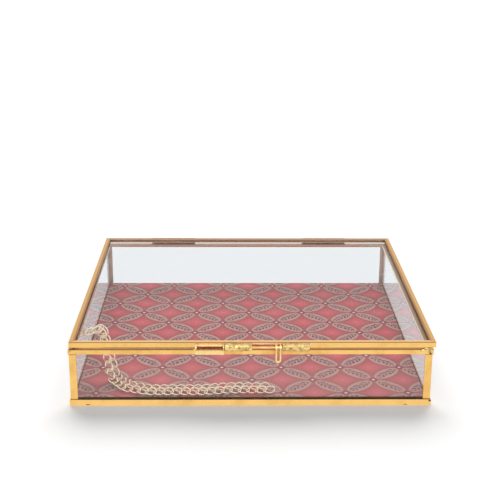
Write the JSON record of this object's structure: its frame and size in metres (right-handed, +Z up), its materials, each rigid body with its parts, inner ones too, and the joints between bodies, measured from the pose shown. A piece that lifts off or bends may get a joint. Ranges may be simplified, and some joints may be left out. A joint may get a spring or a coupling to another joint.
{
  "type": "glass casket box",
  "caption": "Low glass and brass box with a hinged lid, a slide-bolt clasp, a chain stay and a patterned lining.",
  "frame": {"origin": "centre of the underside, under the middle of the box", "axes": "+X to the right seen from the front, +Y from the front with the bolt to the rear with the hinges, +Z up"},
  "size_m": [0.2514, 0.2466, 0.0469],
  "materials": {
    "brass": "satin",
    "aged_brass": "satin",
    "solder": "satin",
    "chain": "polished",
    "glass": "polished",
    "board": "matte",
    "paper": "matte"
  },
  "bodies": {
    "base": {"bottom_rail_front": "brass", "bottom_rail_rear": "brass", "bottom_rail_left": "brass", "bottom_rail_right": "brass", "rim_rail_front": "brass", "rim_rail_rear": "brass", "rim_rail_left": "brass", "rim_rail_right": "brass", "post_front_left": "brass", "post_front_right": "brass", "post_rear_left": "brass", "post_rear_right": "brass", "front_pane": "glass", "rear_pane": "glass", "left_pane": "glass", "right_pane": "glass", "floor_pane": "glass", "lining_board": "board", "lining_paper": "paper", "lid_rest_left": "solder", "lid_rest_right": "solder", "hinge_leaf_base_left": "aged_brass", "hinge_leaf_base_right": "aged_brass", "hinge_pin_left": "solder", "hinge_pin_right": "solder", "bolt_keeper": "brass", "chain_eye_rim": "solder"},
    "lid": {"lid_rail_front": "brass", "lid_rail_rear": "brass", "lid_rail_left": "brass", "lid_rail_right": "brass", "lid_pane": "glass", "hinge_leaf_lid_left": "aged_brass", "hinge_leaf_lid_right": "aged_brass", "bolt_guide_left": "brass", "bolt_guide_right": "brass", "chain_eye_lid": "solder"},
    "bolt": {"bolt_rod": "brass"},
    "pull_loop": {"pull_loop": "brass"},
    "lid_chain_arch": {"lid_chain_arch": "chain"},
    "lid_chain_drop": {"lid_chain_drop": "chain"},
    "lid_chain_turn_1": {"lid_chain_turn_1": "chain"},
    "lid_chain_turn_2": {"lid_chain_turn_2": "chain"},
    "lid_chain_run_1": {"lid_chain_run_1": "chain"},
    "lid_chain_run_2": {"lid_chain_run_2": "chain"},
    "lid_chain_run_3": {"lid_chain_run_3": "chain"},
    "rim_chain_arch": {"rim_chain_arch": "chain"},
    "rim_chain_drop": {"rim_chain_drop": "chain"},
    "rim_chain_turn_1": {"rim_chain_turn_1": "chain"},
    "rim_chain_turn_2": {"rim_chain_turn_2": "chain"},
    "rim_chain_run_1": {"rim_chain_run_1": "chain"},
    "rim_chain_run_2": {"rim_chain_run_2": "chain"},
    "rim_chain_run_3": {"rim_chain_run_3": "chain"}
  },
  "joints": [
    {"name": "lid_hinge", "type": "hinge", "parent": "base", "child": "lid", "pos_m": [0, 0.121, 0.04235], "axis": [-1, 0, 0], "range_deg": [0, 108.2]},
    {"name": "bolt_slide", "type": "slide", "parent": "lid", "child": "bolt", "axis": [-1, 0, 0], "range_m": [0, 0.015]},
    {"name": "loop_swing", "type": "hinge", "parent": "bolt", "child": "pull_loop", "pos_m": [0.0185, -0.1219, 0.0442], "axis": [-1, 0, 0], "range_deg": [0, 170]},
    {"name": "lid_chain_arch_fold", "type": "hinge", "parent": "lid", "child": "lid_chain_arch", "pos_m": [-0.11625, -0.0895, 0.0412], "axis": [-0.019, 0.844, 0.5361], "range_deg": [0, 74.55]},
    {"name": "lid_chain_drop_fold", "type": "hinge", "parent": "lid_chain_arch", "child": "lid_chain_drop", "pos_m": [-0.10583, -0.08396, 0.04141], "axis": [0.5279, -0.8189, 0.2251], "range_deg": [0, 87.66]},
    {"name": "lid_chain_turn_1_fold", "type": "hinge", "parent": "lid_chain_drop", "child": "lid_chain_turn_1", "pos_m": [-0.09878, -0.09237, 0.00775], "axis": [0.8671, 0.4968, -0.0374], "range_deg": [0, 72.36]},
    {"name": "lid_chain_turn_2_fold", "type": "hinge", "parent": "lid_chain_turn_1", "child": "lid_chain_turn_2", "pos_m": [-0.08863, -0.10687, 0.00775], "axis": [-0.515, 0.3971, -0.7597], "range_deg": [0, 44.74]},
    {"name": "lid_chain_run_1_fold", "type": "hinge", "parent": "lid_chain_turn_2", "child": "lid_chain_run_1", "pos_m": [-0.07202, -0.113, 0.00775], "axis": [0.9444, -0.1689, -0.282], "range_deg": [0, 64.74]},
    {"name": "lid_chain_run_2_fold", "type": "hinge", "parent": "lid_chain_run_1", "child": "lid_chain_run_2", "pos_m": [-0.03072, -0.113, 0.00775], "axis": [-0.9701, -0.0689, -0.2327], "range_deg": [0, 33.92]},
    {"name": "lid_chain_run_3_fold", "type": "hinge", "parent": "lid_chain_run_2", "child": "lid_chain_run_3", "pos_m": [-0.0132, -0.1105, 0.00775], "axis": [-0.8519, -0.0605, 0.5202], "range_deg": [0, 15.54]},
    {"name": "rim_chain_arch_fold", "type": "hinge", "parent": "base", "child": "rim_chain_arch", "pos_m": [-0.11575, -0.0835, 0.0391], "axis": [-0.131, -0.9061, 0.4023], "range_deg": [0, 73.14]},
    {"name": "rim_chain_drop_fold", "type": "hinge", "parent": "rim_chain_arch", "child": "rim_chain_drop", "pos_m": [-0.10543, -0.07801, 0.04074], "axis": [0.7796, -0.6257, -0.027], "range_deg": [0, 100.62]},
    {"name": "rim_chain_turn_1_fold", "type": "hinge", "parent": "rim_chain_drop", "child": "rim_chain_turn_1", "pos_m": [-0.0959, -0.0866, 0.00775], "axis": [0.9655, 0.0447, -0.2565], "range_deg": [0, 81.57]},
    {"name": "rim_chain_turn_2_fold", "type": "hinge", "parent": "rim_chain_turn_1", "child": "rim_chain_turn_2", "pos_m": [-0.08626, -0.10145, 0.00775], "axis": [0.1848, -0.1535, -0.9707], "range_deg": [0, 35.55]},
    {"name": "rim_chain_run_1_fold", "type": "hinge", "parent": "rim_chain_turn_2", "child": "rim_chain_run_1", "pos_m": [-0.0699, -0.1082, 0.00775], "axis": [0.8808, -0.1747, -0.4401], "range_deg": [0, 48.52]},
    {"name": "rim_chain_run_2_fold", "type": "hinge", "parent": "rim_chain_run_1", "child": "rim_chain_run_2", "pos_m": [-0.0345, -0.1082, 0.00775], "axis": [0.9503, 0.0866, -0.2989], "range_deg": [0, 33.92]},
    {"name": "rim_chain_run_3_fold", "type": "hinge", "parent": "rim_chain_run_2", "child": "rim_chain_run_3", "pos_m": [-0.01709, -0.105, 0.00775], "axis": [0.8878, 0.0809, 0.4531], "range_deg": [0, 22.75]}
  ],
  "couplings": [
    {"joint": "lid_chain_arch_fold", "follows": "lid_hinge", "ratio": 0.68896},
    {"joint": "lid_chain_drop_fold", "follows": "lid_hinge", "ratio": 0.81017},
    {"joint": "lid_chain_turn_1_fold", "follows": "lid_hinge", "ratio": 0.6687},
    {"joint": "lid_chain_turn_2_fold", "follows": "lid_hinge", "ratio": 0.41353},
    {"joint": "lid_chain_run_1_fold", "follows": "lid_hinge", "ratio": 0.59836},
    {"joint": "lid_chain_run_2_fold", "follows": "lid_hinge", "ratio": 0.31351},
    {"joint": "lid_chain_run_3_fold", "follows": "lid_hinge", "ratio": 0.1436},
    {"joint": "rim_chain_arch_fold", "follows": "lid_hinge", "ratio": 0.67596},
    {"joint": "rim_chain_drop_fold", "follows": "lid_hinge", "ratio": 0.92993},
    {"joint": "rim_chain_turn_1_fold", "follows": "lid_hinge", "ratio": 0.75386},
    {"joint": "rim_chain_turn_2_fold", "follows": "lid_hinge", "ratio": 0.32849},
    {"joint": "rim_chain_run_1_fold", "follows": "lid_hinge", "ratio": 0.44838},
    {"joint": "rim_chain_run_2_fold", "follows": "lid_hinge", "ratio": 0.31348},
    {"joint": "rim_chain_run_3_fold", "follows": "lid_hinge", "ratio": 0.21026}
  ]
}
